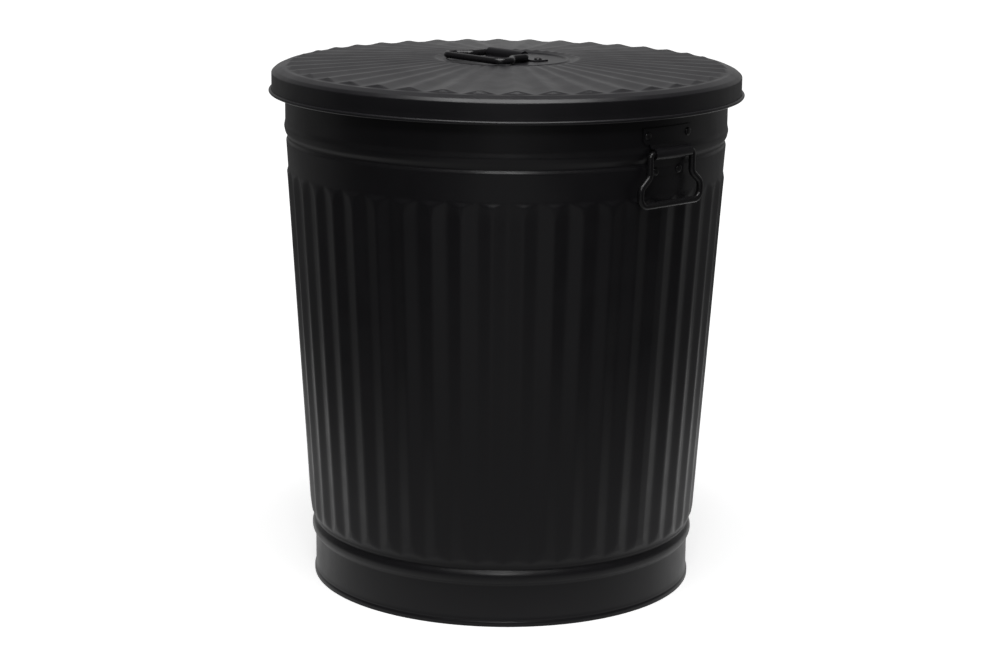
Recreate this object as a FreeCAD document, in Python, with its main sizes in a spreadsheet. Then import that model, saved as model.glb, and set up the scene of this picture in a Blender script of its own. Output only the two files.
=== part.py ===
import FreeCAD, Part
import itertools
import os
import Sketcher
from FreeCAD import Placement, Rotation, Vector

# A round, tapered, fluted sheet-metal trash can with a lift-off fluted lid and three drop handles.
# Origin: centre of the base, on the floor. +Z up, +X to one side handle, the lid's handle lies towards -Y.
# Lengths are in mm and angles in degrees.

# ---------------------------------------------------------------------------------------------
# Driving sizes: each is set here once
# ---------------------------------------------------------------------------------------------

SIZES = {
    # sheet and clearances
    "can_sheet": 0.8,
    "lid_sheet": 0.8,
    "bracket_sheet": 1.6,
    "seat_gap": 0.3,
    "lap_gap": 0.1,
    # foot of the can: rolled hem, plain band and half-round bead
    "hem_radius": 220.3,
    "hem_height": 6.0,
    "hem_lip": 3.5,
    "band_radius": 218.8,
    "base_bead_height": 56.5,
    "base_bead_tube": 11.0,
    "base_bead_rise": 3.6,
    "floor_height": 18.0,
    # fluted part of the wall
    "neck_radius": 218.6,
    "neck_height": 66.5,
    "foot_crest_radius": 225.1,
    "foot_crest_height": 81.0,
    "top_crest_radius": 249.7,
    "top_crest_height": 471.0,
    "flute_count": 47,
    "seam_gap_angle": 9.4,
    "flute_slope": 11.0,
    "flute_top_height": 462.0,
    "flute_end_height": 480.0,
    "crest_land": 3.5,
    "valley_land": 3.5,
    "cutter_rise": 3.0,
    # plain band, swage and rim above the flutes
    "plain_low_radius": 248.4,
    "plain_low_height": 477.5,
    "plain_top_radius": 250.5,
    "plain_top_height": 510.5,
    "swage_groove_radius": 248.3,
    "swage_groove_height": 514.0,
    "swage_crest_radius": 252.6,
    "swage_crest_height": 525.5,
    "collar_radius": 251.5,
    "collar_height": 534.0,
    "rim_height": 586.4,
    "rim_wire": 9.5,
    # drop handles: one bracket and one bail, used three times
    "handle_height": 526.0,
    "bar_standoff": 5.9,
    "bail_wire": 7.5,
    "bail_flare": 13.6,
    "bail_drop": 55.0,
    "neck_drop": 24.0,
    "flare_drop": 36.0,
    "bail_bend": 8.0,
    "butt_gap": 0.6,
    "knuckle_length": 56.5,
    "knuckle_room": 0.85,
    "flange_length": 77.0,
    "flange_start": 9.3,
    "flange_end": 27.5,
    "tongue_start": 16.0,
    "tongue_end": 25.5,
    "rivet_shank": 4.8,
    "rivet_head": 9.0,
    "rivet_head_height": 2.4,
    "rivet_tail": 8.0,
    "rivet_tail_height": 1.4,
    "tail_gap": 0.05,
    "flange_rivet_spread": 61.6,
    "flange_rivet_drop": 19.0,
    "tongue_rivet_spread": 35.6,
    "tongue_rivet_drop": 20.0,
    # lid, measured from its skirt's upper corner
    "skirt_radius": 266.7,
    "skirt_height": 19.8,
    "skirt_bead": 4.1,
    "shoulder_radius": 31.0,
    "shoulder_lean": 36.2,
    "dome_slope": 2.2,
    "dome_edge_radius": 84.0,
    "boss_radius": 75.0,
    "boss_drop": 3.3,
    "boss_bead_radius": 69.0,
    "boss_bead_width": 8.0,
    "lid_flute_count": 40,
    "lid_flute_depth": 3.8,
    "lid_flute_start": 80.0,
    "lid_flute_end": 238.0,
    "lid_flute_run_out": 252.0,
    "lid_crest_land": 4.0,
    "lid_valley_land": 4.0,
    "lid_cutter_rise": 2.0,
    "lid_flute_turn": -0.5,
}

# ---------------------------------------------------------------------------------------------
# Sizes and places that follow from the driving sizes
# ---------------------------------------------------------------------------------------------

LAYOUT = {
    # hem, floor and base bead
    "cut_past": "=Sizes.can_sheet * 2",
    "hem_bore": "=Sizes.band_radius - Sizes.can_sheet - Sizes.hem_lip",
    "base_bead_centre": "=Sizes.band_radius + Sizes.base_bead_rise - Sizes.base_bead_tube",
    "pan_radius": "=Sizes.band_radius - Sizes.can_sheet - Sizes.lap_gap",
    "pan_bore": "=pan_radius - Sizes.can_sheet",
    "floor_under": "=Sizes.floor_height - Sizes.can_sheet",
    # flutes of the wall: one cutter, drawn at three heights
    "taper": "=(Sizes.top_crest_radius - Sizes.foot_crest_radius)"
             " / (Sizes.top_crest_height - Sizes.foot_crest_height)",
    "flute_arc": "=360 - Sizes.seam_gap_angle",
    "half_pitch": "=flute_arc / (Sizes.flute_count - 1) / 2",
    "seam_turn": "=Sizes.seam_gap_angle / 2",
    "valley_half": "=Sizes.valley_land / 2",
    "foot_crest": "=Sizes.foot_crest_radius - (Sizes.foot_crest_height - Sizes.neck_height) * taper",
    "foot_half": "=foot_crest * sin(half_pitch) - Sizes.crest_land / 2",
    "foot_level": "=sqrt(pow(foot_crest; 2) - pow(foot_half; 2))",
    "foot_valley": "=foot_level - (foot_half - valley_half) * tan(Sizes.flute_slope)",
    "foot_outside": "=foot_crest + Sizes.cutter_rise",
    "foot_wide": "=foot_half + (foot_outside - foot_level) / tan(Sizes.flute_slope)",
    "top_crest": "=Sizes.top_crest_radius - (Sizes.top_crest_height - Sizes.flute_top_height) * taper",
    "top_half": "=top_crest * sin(half_pitch) - Sizes.crest_land / 2",
    "top_level": "=sqrt(pow(top_crest; 2) - pow(top_half; 2))",
    "top_valley": "=top_level - (top_half - valley_half) * tan(Sizes.flute_slope)",
    "top_outside": "=top_crest + Sizes.cutter_rise",
    "top_wide": "=top_half + (top_outside - top_level) / tan(Sizes.flute_slope)",
    "end_valley": "=Sizes.plain_low_radius + Sizes.seat_gap * 2",
    "end_outside": "=end_valley + top_outside - top_valley",
    # rim curl round its wire
    "curl_bore": "=Sizes.rim_wire / 2",
    "curl_tube": "=curl_bore + Sizes.can_sheet",
    "curl_centre": "=Sizes.collar_radius - Sizes.can_sheet + curl_tube",
    # handle bracket, drawn as height over the wall against distance along it
    "wire_radius": "=Sizes.bail_wire / 2",
    "bar_radius": "=Sizes.collar_radius + Sizes.bar_standoff",
    "knuckle_bore": "=wire_radius + Sizes.knuckle_room",
    "knuckle_outer": "=knuckle_bore + Sizes.bracket_sheet",
    "plain_taper": "=(Sizes.plain_top_radius - Sizes.plain_low_radius)"
                   " / (Sizes.plain_top_height - Sizes.plain_low_height)",
    "cone_tilt": "=atan(plain_taper)",
    "side_arc": "=2 * asin(Sizes.knuckle_length / 2 / (side_reach + knuckle_outer))",
    "side_flange_arc": "=2 * atan(Sizes.flange_length / 2 / Sizes.collar_radius)",
    "side_reach": "=sqrt(pow(bar_radius; 2) + pow(Sizes.knuckle_length / 2; 2))"
                  " + wire_radius + Sizes.seat_gap - knuckle_bore * cos(22.5)",
    "side_low": "=Sizes.handle_height - Sizes.tongue_end",
    "side_low_seat": "=Sizes.plain_low_radius + Sizes.lap_gap"
                     " + (side_low - Sizes.plain_low_height) * plain_taper",
    "side_bend": "=Sizes.handle_height - Sizes.tongue_start",
    "side_bend_seat": "=Sizes.plain_low_radius + Sizes.lap_gap"
                      " + (side_bend - Sizes.plain_low_height) * plain_taper",
    "side_throat": "=Sizes.swage_crest_radius + Sizes.seat_gap * 2",
    "side_under": "=Sizes.handle_height - knuckle_bore",
    "side_over": "=Sizes.handle_height + knuckle_bore",
    "side_under_face": "=side_under - Sizes.bracket_sheet",
    "side_over_face": "=side_over + Sizes.bracket_sheet",
    "side_flange_low": "=Sizes.handle_height + Sizes.flange_start",
    "side_flange_top": "=Sizes.handle_height + Sizes.flange_end",
    "side_flange_seat": "=Sizes.collar_radius + Sizes.lap_gap",
    "side_flange_face": "=side_flange_seat + Sizes.bracket_sheet",
    "side_throat_face": "=side_throat + Sizes.bracket_sheet",
    "side_bend_face": "=side_bend_seat + Sizes.bracket_sheet",
    "side_low_face": "=side_low_seat + Sizes.bracket_sheet",
    "lid_throat": "=Sizes.bracket_sheet",
    "lid_throat_face": "=lid_throat + Sizes.bracket_sheet",
    "lid_seat_face": "=Sizes.lap_gap + Sizes.bracket_sheet",
    # rivets
    "shank_radius": "=Sizes.rivet_shank / 2",
    "head_radius": "=Sizes.rivet_head / 2",
    "tail_radius": "=Sizes.rivet_tail / 2",
    "head_seat": "=Sizes.lap_gap + Sizes.bracket_sheet",
    "head_top": "=head_seat + Sizes.rivet_head_height",
    "head_dome": "=(pow(head_radius; 2) + pow(Sizes.rivet_head_height; 2)) / (2 * Sizes.rivet_head_height)",
    "head_centre": "=head_top - head_dome",
    "head_angle": "=asin(head_radius / head_dome)",
    "head_step": "=-head_angle / 2",
    "tail_seat": "=Sizes.can_sheet + Sizes.tail_gap",
    "tail_end": "=tail_seat + Sizes.rivet_tail_height",
    "side_flange_rivet": "=Sizes.handle_height + Sizes.flange_rivet_drop",
    "side_tongue_rivet": "=Sizes.handle_height - Sizes.tongue_rivet_drop",
    "tongue_rivet_seat": "=Sizes.plain_low_radius"
                         " + (side_tongue_rivet - Sizes.plain_low_height) * plain_taper",
    "flange_rivet_arc": "=asin(Sizes.flange_rivet_spread / 2 / Sizes.collar_radius)",
    "tongue_rivet_arc": "=asin(Sizes.tongue_rivet_spread / 2 / tongue_rivet_seat)",
    # bail
    "butt_half": "=Sizes.butt_gap / 2",
    "bar_half": "=Sizes.knuckle_length / 2",
    "bar_bend": "=wire_radius * 1.2",
    "neck_half": "=bar_half + bar_bend",
    "grip_half": "=neck_half + Sizes.bail_flare",
    "flare_angle": "=atan(Sizes.bail_flare / (Sizes.flare_drop - Sizes.neck_drop)) / 1 deg",
    "flare_step": "=flare_angle / 2",
    "flare_tangent": "=Sizes.bail_bend * tan(flare_step)",
    "flare_start_x": "=neck_half + Sizes.bail_bend",
    "flare_start_y": "=flare_tangent - Sizes.neck_drop",
    "flare_end_x": "=grip_half - Sizes.bail_bend",
    "flare_end_y": "=-Sizes.flare_drop - flare_tangent",
    "grip_corner_y": "=Sizes.bail_bend - Sizes.bail_drop",
    # lid outside
    "shoulder_centre": "=Sizes.skirt_radius - Sizes.shoulder_radius * cos(Sizes.shoulder_lean)",
    "shoulder_level": "=-Sizes.shoulder_radius * sin(Sizes.shoulder_lean)",
    "shoulder_step": "=(90 - Sizes.dome_slope - Sizes.shoulder_lean) / 4",
    "dome_radius": "=shoulder_centre + Sizes.shoulder_radius * sin(Sizes.dome_slope)",
    "dome_height": "=shoulder_level + Sizes.shoulder_radius * cos(Sizes.dome_slope)",
    "dome_edge_height": "=dome_height + (dome_radius - Sizes.dome_edge_radius) * tan(Sizes.dome_slope)",
    "boss_height": "=dome_edge_height - Sizes.boss_drop",
    "boss_bead_height": "=boss_height + Sizes.bar_standoff - wire_radius - Sizes.seat_gap",
    "boss_bead_start": "=Sizes.boss_bead_radius - Sizes.boss_bead_width / 2",
    "boss_bead_end": "=Sizes.boss_bead_radius + Sizes.boss_bead_width / 2",
    "boss_bead_rising": "=Sizes.boss_bead_radius - Sizes.boss_bead_width / 5",
    "boss_bead_falling": "=Sizes.boss_bead_radius + Sizes.boss_bead_width / 5",
    "bead_tube": "=Sizes.skirt_bead / 2",
    "bead_centre": "=skirt_bore + bead_tube",
    "bead_level": "=-Sizes.skirt_height",
    "bead_seam": "=bead_level + bead_tube * sin(60)",
    # lid inside, one sheet below
    "skirt_bore": "=Sizes.skirt_radius - Sizes.lid_sheet",
    "under_radius": "=Sizes.shoulder_radius - Sizes.lid_sheet",
    "under_lean": "=acos((skirt_bore - shoulder_centre) / under_radius) / 1 deg",
    "under_step": "=(90 - Sizes.dome_slope - under_lean) / 4",
    # flutes of the lid: one cutter, drawn at three radii, the first two in proportion to them
    "inner_share": "=Sizes.lid_flute_start / Sizes.lid_flute_end",
    "out_crest": "=dome_height + (dome_radius - Sizes.lid_flute_end) * tan(Sizes.dome_slope)",
    "out_low": "=out_crest - Sizes.lid_flute_depth",
    "out_high": "=out_crest + Sizes.lid_cutter_rise",
    "out_valley": "=Sizes.lid_valley_land / 2",
    "out_half": "=Sizes.lid_flute_end * tan(180 / Sizes.lid_flute_count) - Sizes.lid_crest_land / 2",
    "out_wide": "=out_half + (out_half - out_valley) * Sizes.lid_cutter_rise / Sizes.lid_flute_depth",
    "in_crest": "=dome_height + (dome_radius - Sizes.lid_flute_start) * tan(Sizes.dome_slope)",
    "in_low": "=in_crest - Sizes.lid_flute_depth * inner_share",
    "in_high": "=in_crest + Sizes.lid_cutter_rise * inner_share",
    "in_valley": "=out_valley * inner_share",
    "in_wide": "=out_wide * inner_share",
    "run_out_low": "=shoulder_level + Sizes.seat_gap + sqrt(pow(Sizes.shoulder_radius; 2)"
                   " - pow(Sizes.lid_flute_run_out - shoulder_centre; 2))",
    "run_out_high": "=run_out_low + Sizes.lid_flute_depth + Sizes.lid_cutter_rise",
    # the lid's seat: its shoulder rests one gap above the rim curl
    "seat_arc": "=under_radius - Sizes.seat_gap - curl_tube",
    "lid_rest": "=Sizes.rim_height - shoulder_level"
                " - sqrt(pow(seat_arc; 2) - pow(curl_centre - shoulder_centre; 2))",
    "lid_boss_rest": "=lid_rest + boss_height",
    "lid_bar_rest": "=lid_boss_rest + Sizes.bar_standoff",
}

# Rounded edges, drawn as short straight runs: centre x, centre y, radius, first angle, step, points.
CURVES = {
    "base_bead": ("base_bead_centre", "Sizes.base_bead_height", "Sizes.base_bead_tube", -48, 32, 4),
    "curl_inner": ("curl_centre", "Sizes.rim_height", "curl_bore", 180, -60, 6),
    "curl_outer": ("curl_centre", "Sizes.rim_height", "curl_tube", -120, 60, 6),
    "skirt_bead": ("bead_centre", "bead_level", "bead_tube", 180, 60, 5),
    "shoulder": ("shoulder_centre", "shoulder_level", "Sizes.shoulder_radius",
                 "Sizes.shoulder_lean", "shoulder_step", 5),
    "under": ("shoulder_centre", "shoulder_level", "under_radius", "under_lean", "under_step", 5),
    "bar_corner": ("bar_half", "-bar_bend", "bar_bend", 90, -45, 3),
    "flare_start": ("flare_start_x", "flare_start_y", "Sizes.bail_bend", 180, "flare_step", 3),
    "flare_end": ("flare_end_x", "flare_end_y", "Sizes.bail_bend", "flare_angle", "-flare_step", 3),
    "grip_corner": ("flare_end_x", "grip_corner_y", "Sizes.bail_bend", 0, -45, 3),
    "side_nose_inner": ("side_reach", "Sizes.handle_height", "knuckle_bore", -90, 45, 5),
    "side_nose_outer": ("side_reach", "Sizes.handle_height", "knuckle_outer", 90, -45, 5),
    "lid_nose_inner": ("Sizes.bar_standoff", "0", "knuckle_bore", -90, 45, 5),
    "lid_nose_outer": ("Sizes.bar_standoff", "0", "knuckle_outer", 90, -45, 5),
    "head": ("head_centre", "0", "head_dome", "head_angle", "head_step", 2),
}

for name, (centre_x, centre_y, radius, start, step, points) in CURVES.items():
    for index in range(points):
        angle = f"({start} + {step} * {index})"
        LAYOUT[f"{name}_x{index}"] = f"={centre_x} + {radius} * cos{angle}"
        LAYOUT[f"{name}_y{index}"] = f"={centre_y} + {radius} * sin{angle}"


def curve(name):
    """Corners of a rounded edge, in order."""
    return [(f"{name}_x{index}", f"{name}_y{index}") for index in range(CURVES[name][-1])]


doc = FreeCAD.newDocument("TrashCan")


def fill_sheet(name, cells):
    """A spreadsheet with one named value on each row."""
    sheet = doc.addObject("Spreadsheet::Sheet", name)
    for row, (alias, content) in enumerate(cells.items(), start=1):
        sheet.set(f"A{row}", alias)
        sheet.set(f"B{row}", str(content))
        sheet.setAlias(f"B{row}", alias)
    doc.recompute()
    return sheet


sizes_sheet = fill_sheet("Sizes", SIZES)
layout_sheet = fill_sheet("Layout", LAYOUT)


def number(spec):
    """Value of a named size, of "-name", or of a (name, name taken off) pair."""
    if isinstance(spec, tuple):
        return number(spec[0]) - number(spec[1])
    if spec.startswith("-"):
        return -number(spec[1:])
    sheet = sizes_sheet if spec in SIZES else layout_sheet
    return float(sheet.get(spec))


def formula(spec):
    """The same size as an expression that FreeCAD keeps bound to the sheets."""
    if isinstance(spec, tuple):
        return f"{formula(spec[0])} - {formula(spec[1])}"
    if spec.startswith("-"):
        return f"-{formula(spec[1:])}"
    return f"Sizes.{spec}" if spec in SIZES else f"Layout.{spec}"


def bind(obj, **expressions):
    """Bind properties, written with _ for the dot, to named sizes."""
    for prop, spec in expressions.items():
        obj.setExpression(prop.replace("_", "."), formula(spec))


# ---------------------------------------------------------------------------------------------
# Sketches and features
# ---------------------------------------------------------------------------------------------

def new_body(label):
    body = doc.addObject("PartDesign::Body", label)
    body.Label = label
    return body


def origin_feature(body, role):
    return next(f for f in body.Origin.OriginFeatures if f.Role == role)


def new_sketch(body, name, plane, lift=None):
    """A sketch on one of the body's own origin planes, or lifted off it by a named size."""
    sketch = body.newObject("Sketcher::SketchObject", name)
    sketch.AttachmentSupport = [(origin_feature(body, plane), "")]
    sketch.MapMode = "FlatFace"
    if lift is not None:
        sketch.setExpression("AttachmentOffset.Base.z", formula(lift))
    return sketch


def pin_coordinate(sketch, geo, point, direction, spec, tag):
    """Hold one coordinate of a sketch point at a named size, or on the axis where spec is None."""
    if spec is None:
        axis = -2 if direction == "DistanceX" else -1
        sketch.addConstraint(Sketcher.Constraint("PointOnObject", geo, point, axis))
        return
    index = sketch.addConstraint(Sketcher.Constraint(direction, -1, 1, geo, point, number(spec)))
    sketch.renameConstraint(index, tag)
    sketch.setExpression(f"Constraints.{tag}", formula(spec))


def corner_point(corner):
    return Vector(*[0.0 if spec is None else number(spec) for spec in corner[:2]])


def outline(body, name, plane, corners, lift=None, closed=True):
    """Sketch of straight runs through corners (x, y)."""
    sketch = new_sketch(body, name, plane, lift)
    points = [corner_point(corner) for corner in corners]
    ends = points[1:] + points[:1] if closed else points[1:]
    for start, end in zip(points, ends):
        sketch.addGeometry(Part.LineSegment(start, end))
    for line in range(len(ends)):
        before = line - 1 if line else len(ends) - 1
        if line or closed:
            sketch.addConstraint(Sketcher.Constraint("Coincident", before, 2, line, 1))
    for index, corner in enumerate(corners):
        line, end = (index, 1) if index < len(ends) else (index - 1, 2)
        pin_coordinate(sketch, line, end, "DistanceX", corner[0], f"x{index}")
        pin_coordinate(sketch, line, end, "DistanceY", corner[1], f"y{index}")
    return sketch


def wire_section(body, name, plane, radius, lift):
    """Circle about the sketch's origin."""
    sketch = new_sketch(body, name, plane, lift)
    circle = sketch.addGeometry(Part.Circle(Vector(0, 0, 0), Vector(0, 0, 1), number(radius)))
    sketch.addConstraint(Sketcher.Constraint("Coincident", circle, 3, -1, 1))
    held = sketch.addConstraint(Sketcher.Constraint("Radius", circle, number(radius)))
    sketch.renameConstraint(held, "radius")
    sketch.setExpression("Constraints.radius", formula(radius))
    return sketch


def revolve(body, name, sketch, arc=None):
    """Revolve a sketch about the can's axis: all round, or through an arc centred on the sketch."""
    feature = body.newObject("PartDesign::Revolution", name)
    feature.Profile = sketch
    feature.ReferenceAxis = (sketch, ["V_Axis"])
    feature.Angle = 360
    if arc is not None:
        feature.Midplane = True
        bind(feature, Angle=arc)
    return feature


def pad(body, name, sketch, length):
    feature = body.newObject("PartDesign::Pad", name)
    feature.Profile = sketch
    feature.Midplane = True
    bind(feature, Length=length)
    return feature


def flute_pattern(body, sections, count, arc=None):
    """Cut one flute through its sections and repeat it about Z; the last feature becomes the tip."""
    flute = body.newObject("PartDesign::SubtractiveLoft", "Flute")
    flute.Profile = sections[0]
    flute.Sections = sections[1:]
    flute.Ruled = True
    pattern = body.newObject("PartDesign::PolarPattern", "Flutes")
    pattern.Originals = [flute]
    pattern.Axis = (origin_feature(body, "Z_Axis"), [""])
    pattern.Angle = 360
    bind(pattern, Occurrences=count)
    if arc is not None:
        bind(pattern, Angle=arc)
    body.Tip = pattern


def compound(label, links):
    group = doc.addObject("Part::Compound", label)
    group.Links = links
    group.Label = label
    return group


def boolean(kind, label, base, tool):
    result = doc.addObject(kind, label)
    result.Base = base
    result.Tool = tool
    result.Label = label
    return result


# ---------------------------------------------------------------------------------------------
# Can
# ---------------------------------------------------------------------------------------------

def can_flute_sections(body, inset):
    """The flute cutter's three cross-sections: below the foot, at the top and past the upper end."""
    stations = (
        ("FootSection", "neck_height", "foot_valley", "foot_outside", "foot_wide"),
        ("TopSection", "flute_top_height", "top_valley", "top_outside", "top_wide"),
        ("EndSection", "flute_end_height", "end_valley", "end_outside", "top_wide"),
    )
    sections = []
    for name, height, valley, outside, wide in stations:
        inner = (valley, inset) if inset else valley
        outer = (outside, inset) if inset else outside
        corners = [(outer, f"-{wide}"), (outer, wide), (inner, "valley_half"), (inner, "-valley_half")]
        sections.append(outline(body, name, "XY_Plane", corners, lift=height))
    return sections


def fluted_plug(label, low_corners, top_corners, inset):
    """Solid of the can's outside, or of its inside when every radius is inset by the sheet."""
    body = new_body(label)
    bind(body, Placement_Rotation_Angle="seam_turn")
    corners = curve("base_bead") + [
        ("neck_radius", "neck_height"),
        ("foot_crest_radius", "foot_crest_height"),
        ("top_crest_radius", "top_crest_height"),
        ("plain_low_radius", "plain_low_height"),
        ("plain_top_radius", "plain_top_height"),
        ("swage_groove_radius", "swage_groove_height"),
        ("swage_crest_radius", "swage_crest_height"),
        ("collar_radius", "collar_height"),
    ]
    if inset:
        corners = [((radius, inset), height) for radius, height in corners]
    profile = outline(body, "WallProfile", "XZ_Plane", low_corners + corners + top_corners)
    revolve(body, "Wall", profile)
    flute_pattern(body, can_flute_sections(body, inset), "flute_count", "flute_arc")
    return body


def can_shell(drill):
    """The fluted, beaded and hemmed wall, drilled, its rim rolled outwards round the rim wire."""
    outside = fluted_plug("can_outside", [
        (None, None),
        ("hem_radius", None),
        ("band_radius", "hem_height"),
    ], curve("curl_inner") + curve("curl_outer") + [(None, "rim_height")], None)
    bore = ("band_radius", "can_sheet")
    inside = fluted_plug("can_inside", [
        (None, "-cut_past"),
        ("hem_bore", "-cut_past"),
        ("hem_bore", "can_sheet"),
        (bore, "can_sheet"),
    ], [
        (("collar_radius", "can_sheet"), "rim_height"),
        (None, "rim_height"),
    ], "can_sheet")
    return boolean("Part::Cut", "can_wall", boolean("Part::Cut", "can_drilled", outside, drill), inside)


def rim_wire():
    body = new_body("rim_wire")
    revolve(body, "Ring", outline(body, "WireProfile", "XZ_Plane", curve("curl_inner")))
    return body


def bottom_pan():
    """Raised floor whose flange stands on the hem's lip."""
    body = new_body("bottom_pan")
    corners = [
        (None, "floor_under"),
        ("pan_bore", "floor_under"),
        ("pan_bore", "can_sheet"),
        ("pan_radius", "can_sheet"),
        ("pan_radius", "floor_height"),
        (None, "floor_height"),
    ]
    revolve(body, "Pan", outline(body, "PanProfile", "XZ_Plane", corners))
    return body


# ---------------------------------------------------------------------------------------------
# Drop handles
# ---------------------------------------------------------------------------------------------

TURNS = {"right": 0, "left": 180}
TURN_TO_WALL = Rotation(Vector(1, 1, 1), 120)
TURN_TO_LID = Rotation(Vector(1, 1, 1), -120)


def side_bracket(label, turn):
    """Bracket on the can: tongue, knuckle over the bail's bar and wide flange, curved like the wall."""
    body = new_body(label)
    body.Placement.Rotation = Rotation(Vector(0, 0, 1), turn)
    corners = [
        ("side_low_seat", "side_low"),
        ("side_bend_seat", "side_bend"),
        ("side_throat", "side_under"),
        *curve("side_nose_inner"),
        ("side_throat", "side_over"),
        ("side_flange_seat", "side_flange_low"),
        ("side_flange_seat", "side_flange_top"),
        ("side_flange_face", "side_flange_top"),
        ("side_flange_face", "side_flange_low"),
        ("side_throat_face", "side_over_face"),
        *curve("side_nose_outer"),
        ("side_throat_face", "side_under_face"),
        ("side_bend_face", "side_bend"),
        ("side_low_face", "side_low"),
    ]
    revolve(body, "Strap", outline(body, "StrapProfile", "XZ_Plane", corners), "side_arc")
    flange = [
        ("side_flange_seat", "side_flange_low"),
        ("side_flange_face", "side_flange_low"),
        ("side_flange_face", "side_flange_top"),
        ("side_flange_seat", "side_flange_top"),
    ]
    revolve(body, "Flange", outline(body, "FlangeProfile", "XZ_Plane", flange), "side_flange_arc")
    return body


def lid_bracket():
    """The same bracket, flat, for the lid's boss: drawn as height (X) against distance (Z)."""
    body = new_body("lid_bracket_blank")
    corners = [
        ("lap_gap", "-tongue_end"),
        ("lap_gap", "-flange_start"),
        ("lid_throat", "-knuckle_bore"),
        *curve("lid_nose_inner"),
        ("lid_throat", "knuckle_bore"),
        ("lap_gap", "flange_start"),
        ("lap_gap", "flange_end"),
        ("lid_seat_face", "flange_end"),
        ("lid_seat_face", "flange_start"),
        ("lid_throat_face", "knuckle_outer"),
        *curve("lid_nose_outer"),
        ("lid_throat_face", "-knuckle_outer"),
        ("lid_seat_face", "-flange_start"),
        ("lid_seat_face", "-tongue_end"),
    ]
    pad(body, "Strap", outline(body, "StrapProfile", "XZ_Plane", corners), "knuckle_length")
    flange = [
        ("lap_gap", "flange_start"),
        ("lid_seat_face", "flange_start"),
        ("lid_seat_face", "flange_end"),
        ("lap_gap", "flange_end"),
    ]
    pad(body, "Flange", outline(body, "FlangeProfile", "XZ_Plane", flange), "flange_length")
    body.Placement.Rotation = TURN_TO_LID
    bind(body, Placement_Base_z="lid_boss_rest")
    return body


def rivet(label, placement):
    """Domed rivet along +X through the sheets; x = 0 is the face that its bracket lies on."""
    body = new_body(label)
    corners = [
        ("-tail_end", None),
        ("-tail_end", "tail_radius"),
        ("-tail_seat", "tail_radius"),
        ("-tail_seat", "shank_radius"),
        ("head_seat", "shank_radius"),
        *curve("head"),
        ("head_top", None),
    ]
    sketch = outline(body, "RivetProfile", "XY_Plane", corners)
    feature = body.newObject("PartDesign::Revolution", "Rivet")
    feature.Profile = sketch
    feature.ReferenceAxis = (sketch, ["H_Axis"])
    feature.Angle = 360
    body.Placement = placement
    return body


def rivet_set(label, placements):
    return compound(label, [rivet(f"{label}_{n}", place) for n, place in enumerate(placements, start=1)])


def side_rivets():
    """On each side two rivets through the wide flange and two, square to the taper, through the tongue."""
    places = []
    rows = (
        ("side_flange_rivet", "collar_radius", "flange_rivet_arc", 0.0),
        ("side_tongue_rivet", "tongue_rivet_seat", "tongue_rivet_arc", number("cone_tilt")),
    )
    for turn, side, (height, radius, arc, tilt) in itertools.product(TURNS.values(), (-1, 1), rows):
        spin = Rotation(Vector(0, 0, 1), turn + side * number(arc))
        around = Placement(Vector(0, 0, number(height)), spin)
        outwards = Placement(Vector(number(radius), 0, 0), Rotation(Vector(0, 1, 0), tilt))
        places.append(around * outwards)
    return rivet_set("bracket_rivets", places)


def lid_rivets():
    places = []
    rows = (
        ("flange_rivet_drop", "flange_rivet_spread", 1),
        ("tongue_rivet_drop", "tongue_rivet_spread", -1),
    )
    for drop, spread, way in rows:
        for side in (-1, 1):
            spot = Vector(side * number(spread) / 2, way * number(drop), number("lid_boss_rest"))
            places.append(Placement(spot, TURN_TO_LID))
    return rivet_set("lid_rivets", places)


def bail(label):
    """Wire bail in the XY plane: bar along X, grip towards -Y, its ends butting inside the knuckle."""
    body = new_body(label)
    half = [("butt_half", None)]
    for corner in ("bar_corner", "flare_start", "flare_end", "grip_corner"):
        half += curve(corner)
    mirrored = [(f"-{x}", y) for x, y in half]
    path = outline(body, "BailPath", "XY_Plane", mirrored + half[::-1], closed=False)
    section = wire_section(body, "WireSection", "YZ_Plane", "wire_radius", "-butt_half")
    doc.recompute()
    pipe = body.newObject("PartDesign::AdditivePipe", "Wire")
    pipe.Profile = section
    pipe.Spine = (path, [f"Edge{index + 1}" for index in range(len(path.Shape.Edges))])
    pipe.Transition = "Right corner"
    return body


def side_bail(label, turn):
    body = bail(label)
    around = Rotation(Vector(0, 0, 1), turn)
    place = around.multVec(Vector(number("bar_radius"), 0, number("handle_height")))
    body.Placement = Placement(place, around * TURN_TO_WALL)
    return body


def lid_bail():
    body = bail("lid_bail")
    bind(body, Placement_Base_z="lid_bar_rest")
    return body


# ---------------------------------------------------------------------------------------------
# Lid
# ---------------------------------------------------------------------------------------------

def lid_plug(label, corners, drop):
    """Solid of the lid's outside, or of its inside with the flutes one sheet lower."""
    body = new_body(label)
    revolve(body, "Dome", outline(body, "DomeProfile", "XZ_Plane", corners))
    stations = (
        ("StartSection", "lid_flute_start", "in_low", "in_high", "in_valley", "in_wide"),
        ("EndSection", "lid_flute_end", "out_low", "out_high", "out_valley", "out_wide"),
        ("RunOutSection", "lid_flute_run_out", "run_out_low", "run_out_high", "out_valley", "out_wide"),
    )
    sections = []
    for name, radius, low, high, valley, wide in stations:
        floor = (low, drop) if drop else low
        roof = (high, drop) if drop else high
        ring = [(f"-{wide}", roof), (f"-{valley}", floor), (valley, floor), (wide, roof)]
        sections.append(outline(body, name, "YZ_Plane", ring, lift=radius))
    flute_pattern(body, sections, "lid_flute_count")
    bind(body, Placement_Base_z="lid_rest", Placement_Rotation_Angle="lid_flute_turn")
    return body


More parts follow.
